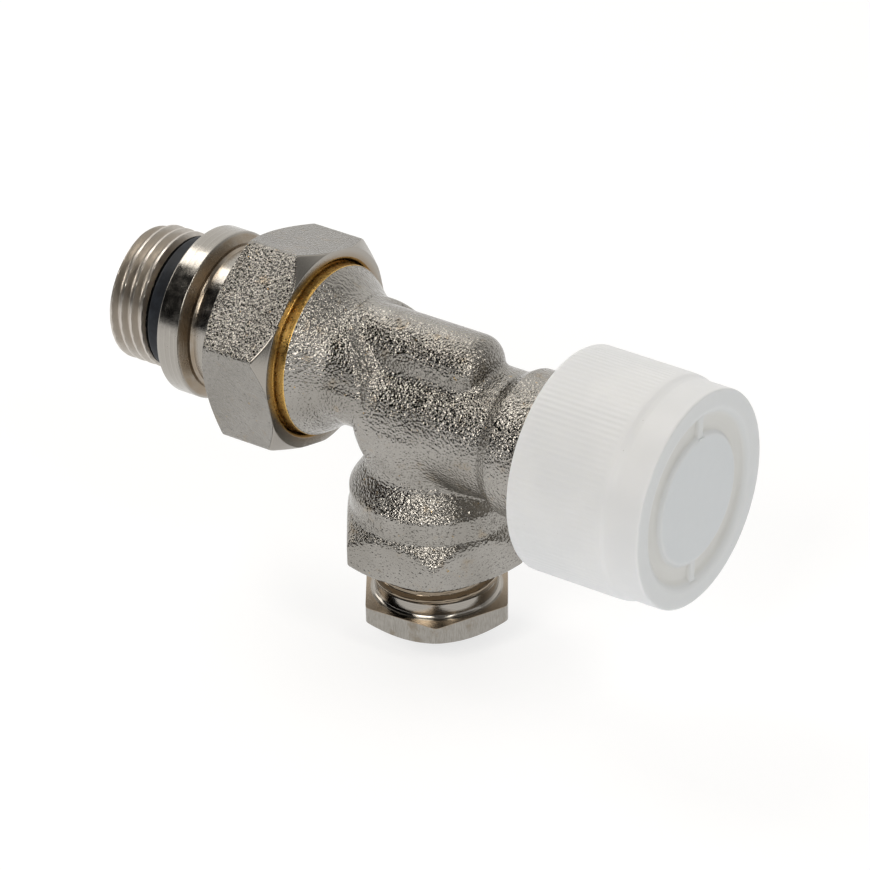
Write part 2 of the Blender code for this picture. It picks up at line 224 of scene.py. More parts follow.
def polygon_distance(along, radius, outline):
    """Signed distance to a closed outline of (along, radius) points; edges on the axis don't count."""
    nearest = np.float32(1e9)
    inside = np.zeros(np.broadcast_shapes(np.shape(along), np.shape(radius)), bool)
    for (a0, r0), (a1, r1) in zip(outline, outline[1:] + outline[:1]):
        ea, er = a1 - a0, r1 - r0
        wa, wr = along - a0, radius - r0
        if r0 or r1:
            t = np.clip((wa * ea + wr * er) / (ea * ea + er * er), 0, 1)
            nearest = np.minimum(nearest, (wa - ea * t) ** 2 + (wr - er * t) ** 2)
        if er:
            crosses = (radius >= min(r0, r1)) & (radius < max(r0, r1))
            inside ^= crosses & (wa < ea * wr / er)
    return np.where(inside, -1, 1) * np.sqrt(nearest)


def rounded_box(x, y, z, centre, half, radius):
    """Signed distance to a box of half sizes whose edges are rounded by a radius."""
    gaps = [np.abs(p - c) - (h - radius) for p, c, h in zip((x, y, z), centre, half)]
    outer = np.sqrt(sum(np.maximum(gap, 0) ** 2 for gap in gaps))
    inner = np.minimum(np.maximum(np.maximum(gaps[0], gaps[1]), gaps[2]), 0)
    return outer + inner - radius


def drilled(across, along, radius, centre, half):
    """Signed distance to a round channel; across holds the two coordinates off its axis."""
    off_axis = np.sqrt(across[0] ** 2 + across[1] ** 2) - radius
    return soft_max(off_axis, np.abs(along - centre) - half, 0.3)


# Outlines of the body as (along, radius) points, along X for the union and the head and along Z
# for the port
FLANGE = [(22.0, 0), (22.0, 12.9), (23.1, 12.9), (24.4, 12.1), (26.4, 10.6), (27.8, 9.98),
          (29.6, 9.9), (44.0, 9.9), (44.0, 0)]
CHAMBER = [(32.0, 0), (32.0, 8.6), (33.4, 9.8), (53.7, 9.8), (54.3, 9.75), (55.0, 10.25),
           (56.6, 11.15), (61.6, 11.2), (62.9, 12.2), (62.9, 0)]
COLUMN = [(HEAD_Z, 0), (HEAD_Z, 9.7), (-12.3, 9.7), (-13.2, 10.0), (-16.2, 12.1), (-16.8, 12.45),
          (-20.5, 12.45), (-23.5, 15.0), (-26.7, 15.0), (-28.0, 12.8), (-29.0, 12.8), (-29.0, 0)]
UNION_BORE = [(20.0, 0), (20.0, 9.2), (22.9, 9.2), (23.6, 7.0), (31.0, 7.0), (31.0, 0)]
HEAD_BORE = [(34.5, 0), (34.5, 6.0), (44.5, 6.0), (44.5, 5.0), (46.5, 5.0), (46.5, 5.8), (46.0, 6.3),
             (46.0, 7.5), (58.0, 7.5), (58.0, 9.6), (64.0, 9.6), (64.0, 0)]
PORT_BORE = [(HEAD_Z, 0), (HEAD_Z, 5.5), (-12.5, 5.5), (-12.5, 7.8), (-14.9, 7.8), (-16.8, 9.7),
             (-27.3, 9.7), (-28.2, 10.5), (-30.0, 10.5), (-30.0, 0)]


def forging(x, y, z):
    """Signed distance to the body from its brass band to the head thread."""
    from_union = np.sqrt(y * y + z * z)
    from_head = np.sqrt(y * y + (z - HEAD_Z) ** 2)
    from_port = np.sqrt((x - PORT_X) ** 2 + y * y)

    # union end: a flange that narrows to the neck, cut off by the round shoulder over the port
    neck_r, shoulder_r, shoulder_slope, shoulder_start = 9.95, 11.7, 0.8, 28.0
    shoulder = from_union - (neck_r - shoulder_slope * np.maximum(shoulder_r - from_port, 0))
    no_cut, true_length = -9.0, 0.78     # the second brings the sloped shoulder back to a distance
    neck = soft_max(polygon_distance(x, from_union, FLANGE),
                    np.where(x > shoulder_start, true_length * shoulder, no_cut), 0.3)
    pad_centre, pad_half, pad_edge, pad_r = (29.8, -5.2, -2.2), (4.7, 4.9, 2.9), 0.7, 10.3
    side_pad = rounded_box(x, y, z, pad_centre, pad_half, pad_edge)
    neck = soft_min(neck, np.maximum(side_pad, from_union - pad_r), 0.4)

    # rib over the neck and the chamber, with upright sides and a round top and end
    rib_r, rib_z, rib_bottom, rib_start, rib_end, end_round = 5.4, 4.6, -3.0, 29.0, 51.1, 3.2
    arched = np.sqrt(y * y + np.maximum(z - rib_z, 0) ** 2) - rib_r
    from_wall, from_end = arched + end_round, x - rib_end + end_round
    rib = np.sqrt(np.maximum(from_wall, 0) ** 2 + np.maximum(from_end, 0) ** 2)
    rib = rib + np.minimum(np.maximum(from_wall, from_end), 0) - end_round
    rib = np.maximum(np.maximum(rib, rib_start - x), rib_bottom - z)

    # port: a column that widens to a hexagon, cut off square at its mouth
    half_flats, mouth_z = 12.875, -27.9
    turn = np.arctan2(x - PORT_X, -y) - PORT_TURN
    hexagon = from_port * np.cos(to_flat(turn)) - half_flats
    column = soft_max(polygon_distance(z, from_port, COLUMN), hexagon, 0.5)
    column = soft_max(column, mouth_z - z, 0.35)

    solid = soft_min(neck, polygon_distance(x, from_head, CHAMBER), 0.9)
    solid = soft_min(solid, rib, 1.1)
    solid = soft_min(solid, column, 1.2)

    # bores, and the two channels that lead the water past the seat
    hollow = polygon_distance(x, from_union, UNION_BORE)
    channel_z, link_x = 5.3, 48.45
    for bore in (polygon_distance(x, from_head, HEAD_BORE), polygon_distance(z, from_port, PORT_BORE),
                 drilled((y, z - channel_z), x, 2.9, 37.0, 12.0),
                 drilled((x - link_x, y), z, 2.2, 1.4, 2.4)):
        hollow = np.minimum(hollow, bore)
    return soft_max(solid, -hollow, 0.3)


def surface_of(distance, low, high, step):
    """Quads on the zero surface of a signed distance, by surface nets, moved onto the exact surface."""
    spans = [np.arange(a, b, step) for a, b in zip(low, high)]
    values = distance(*np.meshgrid(*spans, indexing="ij", sparse=True)).astype(np.float32)
    inside = values < 0
    cells = tuple(n - 1 for n in values.shape)
    total, count = np.zeros(cells + (3,), np.float32), np.zeros(cells, np.float32)
    crossings = []
    for axis in range(3):
        first = np.moveaxis(values, axis, 0)[:-1]
        last = np.moveaxis(values, axis, 0)[1:]
        crossed = (first < 0) != (last < 0)
        share = np.where(crossed, first / np.where(crossed, first - last, 1), 0)
        crossed, share = np.moveaxis(crossed, 0, axis), np.moveaxis(share, 0, axis)
        others = [k for k in range(3) if k != axis]
        for shift_a in (0, 1):
            for shift_b in (0, 1):
                cut = [slice(None)] * 3
                cut[others[0]] = slice(shift_a, cells[others[0]] + shift_a)
                cut[others[1]] = slice(shift_b, cells[others[1]] + shift_b)
                hit = crossed[tuple(cut)]
                count += hit
                total[..., axis] += np.where(hit, share[tuple(cut)], 0)
                total[..., others[0]] += hit * shift_a
                total[..., others[1]] += hit * shift_b
        crossings.append(crossed)
    used = count > 0
    number = np.full(cells, -1)
    number[used] = np.arange(used.sum())
    points = (np.argwhere(used) + total[used] / count[used][:, None]) * step + np.array(low)
    quads = []
    for axis, crossed in enumerate(crossings):
        a, b = [k for k in range(3) if k != axis]
        at = np.argwhere(crossed)
        at = at[(at[:, a] > 0) & (at[:, b] > 0) & (at[:, a] < cells[a]) & (at[:, b] < cells[b])]
        ring = []
        for back_a, back_b in ((1, 1), (0, 1), (0, 0), (1, 0)):
            cell = at.copy()
            cell[:, a] -= back_a
            cell[:, b] -= back_b
            ring.append(number[tuple(cell.T)])
        quad = np.stack(ring, -1)
        flip = inside[tuple(at.T)] == (axis == 1)
        quad[flip] = quad[flip][:, ::-1]
        quads.append(quad)
    reach, rounds, least_slope, longest_move = 0.02, 3, 0.2, 0.3 * step
    for _ in range(rounds):
        here = distance(*points.T)
        rises = [distance(*(points + reach * unit).T) - here for unit in np.eye(3)]
        slope = np.stack(rises, -1) / reach
        steepness = np.maximum((slope ** 2).sum(-1, keepdims=True), least_slope)
        points -= np.clip(here[:, None] * slope / steepness, -longest_move, longest_move)
    return points, np.concatenate(quads).tolist()


# ---------------------------------------------------------------- pieces

def make_body(looks):
    """The forging, its bare brass band with the union thread, and the plated head thread."""
    vertices, faces = surface_of(forging, FORGING_LOW, FORGING_HIGH, FORGING_STEP)
    build("body_forging", vertices, faces, looks["blasted"], "valve_body", "nickel", ["valve_body"],
          SHARP_FORGING)

    band_r, band_end = 12.95, 23.02
    outline = filleted([(15.5, 9.2), (15.5, 12.3), (16.4, UNION_THREAD_R), (20.9, UNION_THREAD_R),
                        (21.3, band_r), (band_end, band_r), (band_end, 9.2)], 0.12)
    outline = dense(outline, 0.11, 15.9, 21.2, 12.0)
    cut = thread(15.6, 21.0, GAS_PITCH, UNION_THREAD_R, 1.1, 0.9)
    build("body_union_thread", *swept(outline, 160, shape=cut), looks["brass"], "valve_body", "brass")

    outline = filleted([(62.6, 9.6), (62.6, 12.0), (63.2, 14.2), (63.9, HEAD_THREAD_R),
                        (70.2, HEAD_THREAD_R), (71.0, 14.0), (71.0, 11.3), (70.6, 11.3),
                        (70.6, 9.6)], 0.12)
    outline = dense(outline, 0.11, 63.8, 70.6, 14.0)
    cut = thread(64.2, 70.9, FINE_PITCH, HEAD_THREAD_R, 0.9, 0.7)
    build("body_head_thread", *swept(outline, 160, centre=HEAD, shape=cut), looks["turned"],
          "valve_body", "nickel")


def make_tail(looks):
    """The tail, turned in one piece, and the black seal ring behind its thread."""
    bore, neck, collar, spigot = 6.9, 10.7, 12.85, 8.9
    outline = [(-10.4, bore + 0.5), (-10.4, TAIL_THREAD_R), (-4.1, TAIL_THREAD_R),
               (-3.8, 9.3), (-3.6, 9.0), (0.3, 9.0), (0.3, 10.6), (0.0, 10.6), (0.0, collar - 0.2),
               (0.2, collar), (3.65, collar), (3.8, collar - 0.25), (4.65, 11.35), (4.72, 10.95),
               (5.2, neck), (12.8, neck), (12.8, 9.9), (14.4, 9.9), (14.4, neck), (15.2, neck),
               (15.2, spigot), (17.0, spigot), (17.0, 7.75), (19.0, 7.75), (19.0, spigot),
               (22.0, spigot), (22.5, spigot - 0.5), (22.5, bore), (14.2, bore), (14.0, 5.7),
               (6.0, 5.7), (5.8, bore), (-9.9, bore)]
    outline = dense(filleted(outline, 0.1), 0.06, -10.4, -3.8, 9.2)
    outline = dense(outline, 0.4, 5.7, 14.3, 0.0)
    cut = thread(-11.96, -3.7, GAS_PITCH, TAIL_THREAD_R, 1.1, 0.4)

    def key_hole(along, radius, angle):
        """A hexagon for a key, sunk in the narrow part of the bore."""
        half_flats = 5.95
        wall = half_flats / np.cos(to_flat(angle))
        keyed = (along > 5.9) & (along < 14.1) & (radius < 6.6)
        return along, np.where(keyed, np.minimum(wall, bore), radius)
    build("tail_turned", *swept(outline, 240, shape=both(cut, key_hole)), looks["turned"],
          "tail", "nickel", ["tailpiece"])

    outline = filleted([(-3.7, 9.55), (-3.7, 10.0), (-3.35, 10.3), (-0.35, 10.3), (-0.12, 10.05),
                        (-0.12, 9.2), (-3.5, 9.2)], 0.2, 4)
    build("tail_seal_ring", *swept(outline, 128), looks["rubber"], "tail", "rubber",
          ["radiator_seal_ring"])


def make_union_nut(looks):
    """Hexagon nut with a chamfer at both ends, open towards the body."""
    back, bore, back_hole = 9.9, 13.5, 11.0
    corner = NUT_FLATS / math.sqrt(3)
    outline = [(back, back_hole + 0.3), (back, 14.7), (back + 1.5, corner + 0.05),
               (NUT_FRONT - CHAMFER, corner + 0.05), (NUT_FRONT, NUT_FACE_R), (NUT_FRONT, bore + 0.3),
               (NUT_FRONT - 0.3, bore), (12.9, bore), (12.8, back_hole), (back + 0.3, back_hole)]
    outline = dense(filleted(outline, 0.12), 0.14, back, NUT_FRONT, 14.6)
    hexagon = flats(NUT_FLATS, math.pi - UNION_TURN, 14.2)
    build("union_nut_body", *swept(outline, 540, shape=hexagon), looks["nut"], "union_nut", "nickel",
          ["union_nut"], SHARP_NUT)


def make_pipe_nut(looks):
    """Compression nut: thread, plain neck and a thin hexagon; and the olive over it."""
    top, flange_top, bottom, bore, neck = -22.9, -35.0, -38.6, 7.8, 9.12
    corner = PIPE_NUT_FLATS / math.sqrt(3)
    outline = [(top, bore + 0.9), (top, PIPE_THREAD_R - 0.7), (top - 0.6, PIPE_THREAD_R),
               (-32.3, PIPE_THREAD_R), (-32.75, neck), (flange_top + 0.35, neck), (flange_top, 9.45),
               (flange_top, corner + 0.05), (bottom + 1.05, corner + 0.05), (bottom, 10.4),
               (bottom, bore + 0.5), (bottom + 0.5, bore), (top - 0.9, bore)]
    outline = filleted(outline, 0.1)
    outline = dense(outline, 0.1, -32.4, top, 9.0)
    outline = dense(outline, 0.16, bottom, flange_top, 10.3)
    cut = thread(-32.5, -22.0, FINE_PITCH, PIPE_THREAD_R, 0.8, 0.7)
    hexagon = flats(PIPE_NUT_FLATS, PORT_TURN - math.pi / 2, 10.0)
    build("pipe_nut_body", *swept(outline, 420, "Z", PORT, both(cut, hexagon)), looks["bright"],
          "pipe_nut", "nickel", ["pipe_nut"], SHARP_NUT)

    ring = filleted([(-22.6, bore), (-22.6, 8.2), (-21.4, 9.2), (-20.4, 9.2), (-19.2, 8.2),
                     (-19.2, bore)], 0.15)
    build("olive_ring", *swept(ring, 128, "Z", PORT), looks["brass"], "olive", "brass", ["olive"])


def make_cap(looks):
    """Ribbed skirt, soft step, and a face with a ring-shaped recess crossed by two bridges."""
    rim, outside, step_r, ribs_end = 64.1, 16.95, 16.5, 79.4
    ribs, per_rib, rib_height = 120, 6, 0.05
    bridge_angle, bridge_half, bridge_x = math.radians(84.0), 0.75, 85.55
    outline = [(rim, 15.8), (rim, outside - 0.25), (rim + 0.4, outside), (79.2, outside), (79.9, 16.88),
               (80.5, 16.62), (81.2, step_r), (85.75, step_r), (CAP_FACE, 16.3), (CAP_FACE, 13.9),
               (85.8, 13.4), (85.2, 12.7), (85.05, 12.2), (85.05, 10.8), (85.15, 10.3), (85.7, 9.8),
               (CAP_DISC_X, CAP_DISC_R), (CAP_DISC_X, 0), (79.3, 0), (79.3, 3.2), (82.4, 3.6),
               (82.4, 14.2), (73.0, 14.6), (72.6, 15.3), (rim + 0.5, 15.3)]
    outline = dense(filleted(outline, 0.2), 0.5, rim + 0.3, 79.3, 16.9)
    outline = dense(outline, 0.25, RECESS_START, CAP_FACE + 0.1, 9.0)

    def ribbed(along, radius, angle):
        """Fine ribs on the skirt, and the two bridges lifted out of the recess."""
        run = smooth((along - rim - 0.15) / 0.5) * smooth((ribs_end - along) / 0.7)
        ridge = 0.5 + 0.5 * np.cos(angle * ribs)
        on_skirt = radius > step_r + 0.1
        radius = np.where(on_skirt, radius + rib_height * run * (smooth(ridge * 1.3) - 0.5), radius)
        gap = np.abs((angle - bridge_angle + math.pi / 2) % math.pi - math.pi / 2) * radius
        on_bridge = smooth((bridge_half + 0.35 - gap) / 0.7)
        recessed = (along > RECESS_START) & (along < CAP_DISC_X - 0.05)
        recessed &= (radius < RECESS_R) & (radius > CAP_DISC_R)
        lifted = along + (bridge_x - along) * on_bridge
        return np.where(recessed, lifted, along), radius
    build("cap_shell", *swept(outline, ribs * per_rib, centre=HEAD, shape=ribbed), looks["plastic"],
          "hand_cap", "white_plastic", ["hand_cap"], SHARP_CAP)


def make_spring(looks):
    """Round-wire compression spring of five turns, the first and last of them closed."""
    start, end, wire, coil = 58.75, 64.2, 0.4, 3.2
    turns, steps, section = 5.0, 28, 10      # steps in a turn, and points round the wire
    closed_turns, closed_pitch = 0.75, 0.9
    count = int(turns * steps)
    open_turns = turns - 2 * closed_turns
    open_length = end - start - 2 * closed_turns * closed_pitch
    ring = np.arange(section) * TURN / section
    vertices = []
    for i in range(count + 1):
        turn = i / steps
        opened = min(max(turn - closed_turns, 0.0), open_turns)
        along = start + closed_pitch * (turn - opened) + open_length * opened / open_turns
        angle = TURN * turn
        for bend in ring:
            radius = coil + wire * math.cos(bend)
            vertices.append((along + wire * math.sin(bend), radius * math.cos(angle),
                             HEAD_Z + radius * math.sin(angle)))
    faces = [[i * section + k, i * section + (k + 1) % section, (i + 1) * section + (k + 1) % section,
              (i + 1) * section + k] for i in range(count) for k in range(section)]
    faces += [list(range(section)), [count * section + k for k in range(section)]]
    build("spring_coil", vertices, faces, looks["steel"], "valve_body", "steel", ["return_spring"])


# ---------------------------------------------------------------- materials

def add(tree, kind, inputs=None, **settings):
    """A shader node with its settings, and its inputs set to values or linked to other sockets."""
    made = tree.nodes.new("ShaderNode" + kind)
    for key, value in settings.items():
        setattr(made, key, value)
    for key, value in (inputs or {}).items():
        if isinstance(value, bpy.types.NodeSocket):
            tree.links.new(value, made.inputs[key])
        else:
            made.inputs[key].default_value = value
    return made


def math_node(tree, operation, first, second=0.0, third=0.0):
    """A Math node's result, from up to three numbers or sockets."""
    values = {0: first, 1: second, 2: third}
    return add(tree, "Math", values, operation=operation).outputs[0]


def times(tree, first, second):
    """The product of two numbers or sockets."""
    return math_node(tree, "MULTIPLY", first, second)


def plus(tree, first, second):
    """The sum of two numbers or sockets."""
    return math_node(tree, "ADD", first, second)


def larger(tree, first, second):
    """The larger of two numbers or sockets."""
    return math_node(tree, "MAXIMUM", first, second)


def between(tree, value, low, high, to_low=0.0, to_high=1.0):
    """A soft step of a value from low to high; falls where to_low is above to_high."""
    inputs = {"Value": value, "From Min": low, "From Max": high, "To Min": to_low, "To Max": to_high}
    return add(tree, "MapRange", inputs, interpolation_type="SMOOTHSTEP").outputs["Result"]


def mixed(tree, share, first, second):
    """A mix of two colours, each a socket or three numbers."""
    made = add(tree, "Mix", data_type="RGBA")
    for socket, value in ((made.inputs[0], share), (made.inputs[6], first), (made.inputs[7], second)):
        if isinstance(value, bpy.types.NodeSocket):
            tree.links.new(value, socket)
        else:
            socket.default_value = value if isinstance(value, float) else (*value, 1.0)
    return made.outputs[2]


def material(name, metallic, roughness=0.4, **sockets):
    """A plain Principled material: its tree, its shader and its object coordinates."""
    made = bpy.data.materials.new(name)
    made.use_nodes = True
    tree = made.node_tree
    shader = tree.nodes["Principled BSDF"]
    sockets |= {"Metallic": metallic, "Roughness": roughness}
    for key, value in sockets.items():
        shader.inputs[key.replace("_", " ")].default_value = value
    place = add(tree, "TexCoord").outputs["Object"]
    return made, tree, shader, place


def noise(tree, place, size, detail=2.0, rough=0.5):
    """Noise between 0 and 1 whose features are about size millimetres across."""
    inputs = {"Vector": place, "Scale": 1 / (size * MM), "Detail": detail, "Roughness": rough}
    return add(tree, "TexNoise", inputs).outputs["Fac"]


def painted(tree, shader, colour, rough):
    """Link a colour and a roughness that change over the surface."""
    tree.links.new(colour, shader.inputs["Base Color"])
    tree.links.new(rough, shader.inputs["Roughness"])


def scaled(tree, place, factors):
    """Coordinates stretched along an axis wherever its factor is below 1."""
    return add(tree, "VectorMath", {0: place, 1: factors}, operation="MULTIPLY").outputs[0]


def round_place(tree, place, axis="X", centre=(0, 0, 0)):
    """Millimetres along an axis and away from it, and the two as one vector."""
    shift = add(tree, "VectorMath", {0: place, 1: tuple(c * MM for c in centre)}, operation="SUBTRACT")
    parts = add(tree, "SeparateXYZ", {0: shift.outputs[0]}).outputs
    along, u, v = (parts[0], parts[1], parts[2]) if axis == "X" else (parts[2], parts[0], parts[1])
    squares = plus(tree, times(tree, u, u), times(tree, v, v))
    along = times(tree, along, 1 / MM)
    away = times(tree, math_node(tree, "SQRT", squares), 1 / MM)
    both_ways = add(tree, "CombineXYZ", {0: along, 1: away}).outputs[0]
    return along, away, both_ways


def ring_lines(tree, both_ways, width):
    """Fine rings left by the lathe, about width millimetres apart."""
    inputs = {"Vector": both_ways, "Scale": 1.0 / width, "Detail": 3.0, "Roughness": 0.65}
    return add(tree, "TexNoise", inputs).outputs["Fac"]


def bumped(tree, shader, height, depth):
    """Bump of a height socket; depth is in millimetres."""
    inputs = {"Height": height, "Distance": depth * MM, "Strength": 1.0}
    tree.links.new(add(tree, "Bump", inputs).outputs["Normal"], shader.inputs["Normal"])


# Base colours; a pair runs from its darker tone to its lighter one
BLASTED = (0.300, 0.285, 0.260), (0.355, 0.340, 0.314)
BLASTED_NUT = (0.255, 0.242, 0.22), (0.30, 0.287, 0.265)
STAIN, BRASSY_SPECK = (0.31, 0.255, 0.185), (0.42, 0.28, 0.10)
# A dark brown used as painted shade: round the union nut's hole, in the tail's corner and groove, and
# on the compression nut's thread.
BROWN_PAINTED_SHADE = (0.25, 0.19, 0.125)
NUT_FACE = (0.34, 0.32, 0.29)
TURNED = (0.31, 0.292, 0.262), (0.42, 0.40, 0.37)
# Painted light: a lighter colour for the tail's thread, standing in for its bright reflections.
THREAD_PAINTED_LIGHT = (0.60, 0.56, 0.51)
BRIGHT = (0.30, 0.28, 0.25), (0.40, 0.378, 0.345)
SCRATCHED = (0.27, 0.255, 0.23), (0.38, 0.36, 0.33)
# The first is a stain on the flats; the second is painted shade for the top of the compression nut's
# hexagon.
BROWN_STAIN, TOP_PAINTED_SHADE = (0.235, 0.20, 0.155), (0.30, 0.245, 0.185)
BRASS, TARNISH = ((0.52, 0.30, 0.07), (0.86, 0.57, 0.19)), (0.42, 0.24, 0.07)
RUBBER = (0.007, 0.009, 0.013), (0.015, 0.019, 0.026)
PLASTIC = (0.725, 0.738, 0.752), (0.760, 0.770, 0.780)
# Painted shade: the cap's face with its recess, and the bluish disc, are made darker than the skirt.
FACE_PAINTED_SHADE, DISC_PAINTED_SHADE = (0.665, 0.685, 0.695), (0.635, 0.665, 0.685)
PLASTIC_GROOVE = (0.67, 0.67, 0.645)
DUST, SCUFF = (0.30, 0.28, 0.25), (0.78, 0.79, 0.80)
STEEL = (0.42, 0.42, 0.43), (0.60, 0.60, 0.60)


def blasted_grain(tree, place):
    """Height of a shot-blasted forging: rounded pits with finer grit between."""
    pits_per_metre, pit_depth, grit_size = 2300.0, 0.8, 0.36
    pits = add(tree, "TexVoronoi", {"Vector": place, "Scale": pits_per_metre, "Smoothness": 0.2},
               feature="SMOOTH_F1").outputs["Distance"]
    grit = noise(tree, place, grit_size, 2.0, 0.5)
    return plus(tree, times(tree, pits, pit_depth), grit)


def stained(tree, place, tones):
    """Plated colour with broad tone changes, brownish stains and small brassy specks."""
    broad = between(tree, noise(tree, place, 9.0, 3.0), 0.35, 0.65)
    colour = mixed(tree, broad, *tones)
    stain = between(tree, noise(tree, place, 3.2, 5.0, 0.65), 0.56, 0.72, 0.0, 0.6)
    colour = mixed(tree, stain, colour, STAIN)
    speck = between(tree, noise(tree, place, 0.9, 3.0, 0.6), 0.69, 0.74, 0.0, 0.8)
    return mixed(tree, speck, colour, BRASSY_SPECK)


def blasted_nickel():
    """The body: shot-blasted and plated."""
    made, tree, shader, place = material("nickel_blasted", 1.0)
    colour = stained(tree, place, BLASTED)
    rough = between(tree, noise(tree, place, 2.0, 3.0), 0.3, 0.7, 0.13, 0.19)
    painted(tree, shader, colour, rough)
    bumped(tree, shader, blasted_grain(tree, place), 0.155)
    return made


def nut_nickel():
    """Blasted flats; the turned front face and its chamfer are bright and finely lined, with painted
    brownish shade towards the hole.
    """
    made, tree, shader, place = material("nickel_nut", 1.0)
    along, away, both_ways = round_place(tree, place)
    slope = (NUT_FLATS / math.sqrt(3) - NUT_FACE_R) / CHAMFER
    cone = math_node(tree, "MULTIPLY_ADD", along, -slope, NUT_FACE_R + slope * NUT_FRONT)
    on_chamfer = between(tree, math_node(tree, "SUBTRACT", away, cone), -0.16, -0.06)
    turned = larger(tree, on_chamfer, between(tree, along, NUT_FRONT - 0.12, NUT_FRONT - 0.05))
    in_bore = between(tree, away, 13.9, 14.1, 1.0, 0.0)
    turned = larger(tree, turned, in_bore)
    colour = mixed(tree, turned, stained(tree, place, BLASTED_NUT), NUT_FACE)
    # Painted shade: the front face darkens to brown towards the hole.
    hole_shade = between(tree, away, 13.6, 15.1, 0.75, 0.0)
    colour = mixed(tree, hole_shade, colour, BROWN_PAINTED_SHADE)
    painted(tree, shader, colour, between(tree, turned, 0.0, 1.0, 0.18, 0.22))
    lines = times(tree, ring_lines(tree, both_ways, 0.09), 0.09)
    grain = blasted_grain(tree, place)
    untouched = math_node(tree, "SUBTRACT", 1.0, turned)
    height = plus(tree, times(tree, turned, lines), times(tree, untouched, grain))
    bumped(tree, shader, height, 0.19)
    return made


def turned_nickel():
    """Plated surfaces straight from the lathe, with painted brownish shade in the corner and the groove
    of the tail and painted light on its thread.
    """
    made, tree, shader, place = material("nickel_turned", 1.0)
    along, away, both_ways = round_place(tree, place)
    lines = ring_lines(tree, both_ways, 0.07)
    colour = mixed(tree, between(tree, lines, 0.3, 0.7), *TURNED)
    # Painted shade: a patchy brownish darkening over the collar's step into the neck and in the groove
    # behind the seal ring.
    step = times(tree, between(tree, along, 3.72, 3.95), between(tree, along, 5.1, 6.4, 1.0, 0.0))
    grooves = times(tree, between(tree, away, 9.2, 10.2, 1.0, 0.0),
                    between(tree, along, 0.2, 0.5, 1.0, 0.0))
    grooves = times(tree, grooves, between(tree, away, 8.8, 8.9))
    corner_shade = larger(tree, times(tree, step, 0.8), times(tree, grooves, 0.75))
    patchy = between(tree, noise(tree, place, 3.0, 3.0), 0.3, 0.65, 0.5, 1.0)
    colour = mixed(tree, times(tree, corner_shade, patchy), colour, BROWN_PAINTED_SHADE)
    # Painted light: the tail's thread is made lighter to stand in for its bright reflections.
    threaded = between(tree, along, -4.2, -3.9, 1.0, 0.0)
    colour = mixed(tree, times(tree, threaded, 0.7), colour, THREAD_PAINTED_LIGHT)
    rough = between(tree, noise(tree, place, 1.4, 4.0, 0.6), 0.3, 0.7, 0.16, 0.28)
    painted(tree, shader, colour, math_node(tree, "MULTIPLY_ADD", threaded, 0.12, rough))
    scratch = noise(tree, place, 0.5, 3.0)
    bumped(tree, shader, plus(tree, times(tree, lines, 0.6), times(tree, scratch, 0.25)), 0.022)
    return made


def bright_nickel():
    """The compression nut: smooth plating with painted brownish shade on the thread and on the top of
    the hexagon, and scratched hexagon flats.
    """
    made, tree, shader, place = material("nickel_bright", 1.0)
    along, away, both_ways = round_place(tree, place, "Z", PORT)
    hexagon = between(tree, away, 9.7, 10.0)
    thread_part = between(tree, along, -32.9, -32.2)
    lines = ring_lines(tree, both_ways, 0.10)
    brushed = noise(tree, scaled(tree, place, (1.0, 1.0, 0.12)), 0.14, 4.0, 0.65)
    plain = mixed(tree, between(tree, lines, 0.3, 0.7), *BRIGHT)
    stain = between(tree, noise(tree, place, 2.4, 5.0, 0.65), 0.50, 0.70, 0.0, 0.8)
    worn = mixed(tree, between(tree, brushed, 0.3, 0.7), *SCRATCHED)
    worn = mixed(tree, stain, worn, BROWN_STAIN)
    # Painted shade: the thread is darkened brown to stand in for the dark reflections on the nut's
    # neck.
    colour = mixed(tree, times(tree, thread_part, 0.7), plain, BROWN_PAINTED_SHADE)
    colour = mixed(tree, hexagon, colour, worn)
    # Painted shade: the top of the hexagon is tinted brown for the dark brown shading on it.
    on_top = times(tree, hexagon, between(tree, along, -35.12, -35.06))
    colour = mixed(tree, on_top, colour, TOP_PAINTED_SHADE)
    on_flats = math_node(tree, "SUBTRACT", hexagon, on_top)
    painted(tree, shader, colour, between(tree, on_flats, 0.0, 1.0, 0.12, 0.32))
    scratches = times(tree, times(tree, brushed, hexagon), 0.9)
    bumped(tree, shader, plus(tree, times(tree, lines, 0.25), scratches), 0.03)
    return made


def turned_brass():
    """Bare brass with lathe rings and some tarnish."""
    made, tree, shader, place = material("brass_turned", 1.0)
    lines = ring_lines(tree, round_place(tree, place)[2], 0.12)
    colour = mixed(tree, between(tree, lines, 0.32, 0.68), *BRASS)
    tarnish = between(tree, noise(tree, place, 1.6, 4.0, 0.65), 0.58, 0.74, 0.0, 0.35)
    colour = mixed(tree, tarnish, colour, TARNISH)
    painted(tree, shader, colour, between(tree, noise(tree, place, 0.8, 3.0), 0.3, 0.7, 0.20, 0.36))
    bumped(tree, shader, plus(tree, lines, noise(tree, place, 0.4, 3.0)), 0.03)
    return made


def black_rubber():
    """Matt black rubber, slightly mottled."""
    made, tree, shader, place = material("rubber_black", 0.0, 0.5, Specular_IOR_Level=0.25)
    mottled = between(tree, noise(tree, place, 1.5, 4.0, 0.6), 0.35, 0.7)
    tree.links.new(mixed(tree, mottled, *RUBBER), shader.inputs["Base Color"])
    bumped(tree, shader, noise(tree, place, 0.35, 3.0), 0.015)
    return made


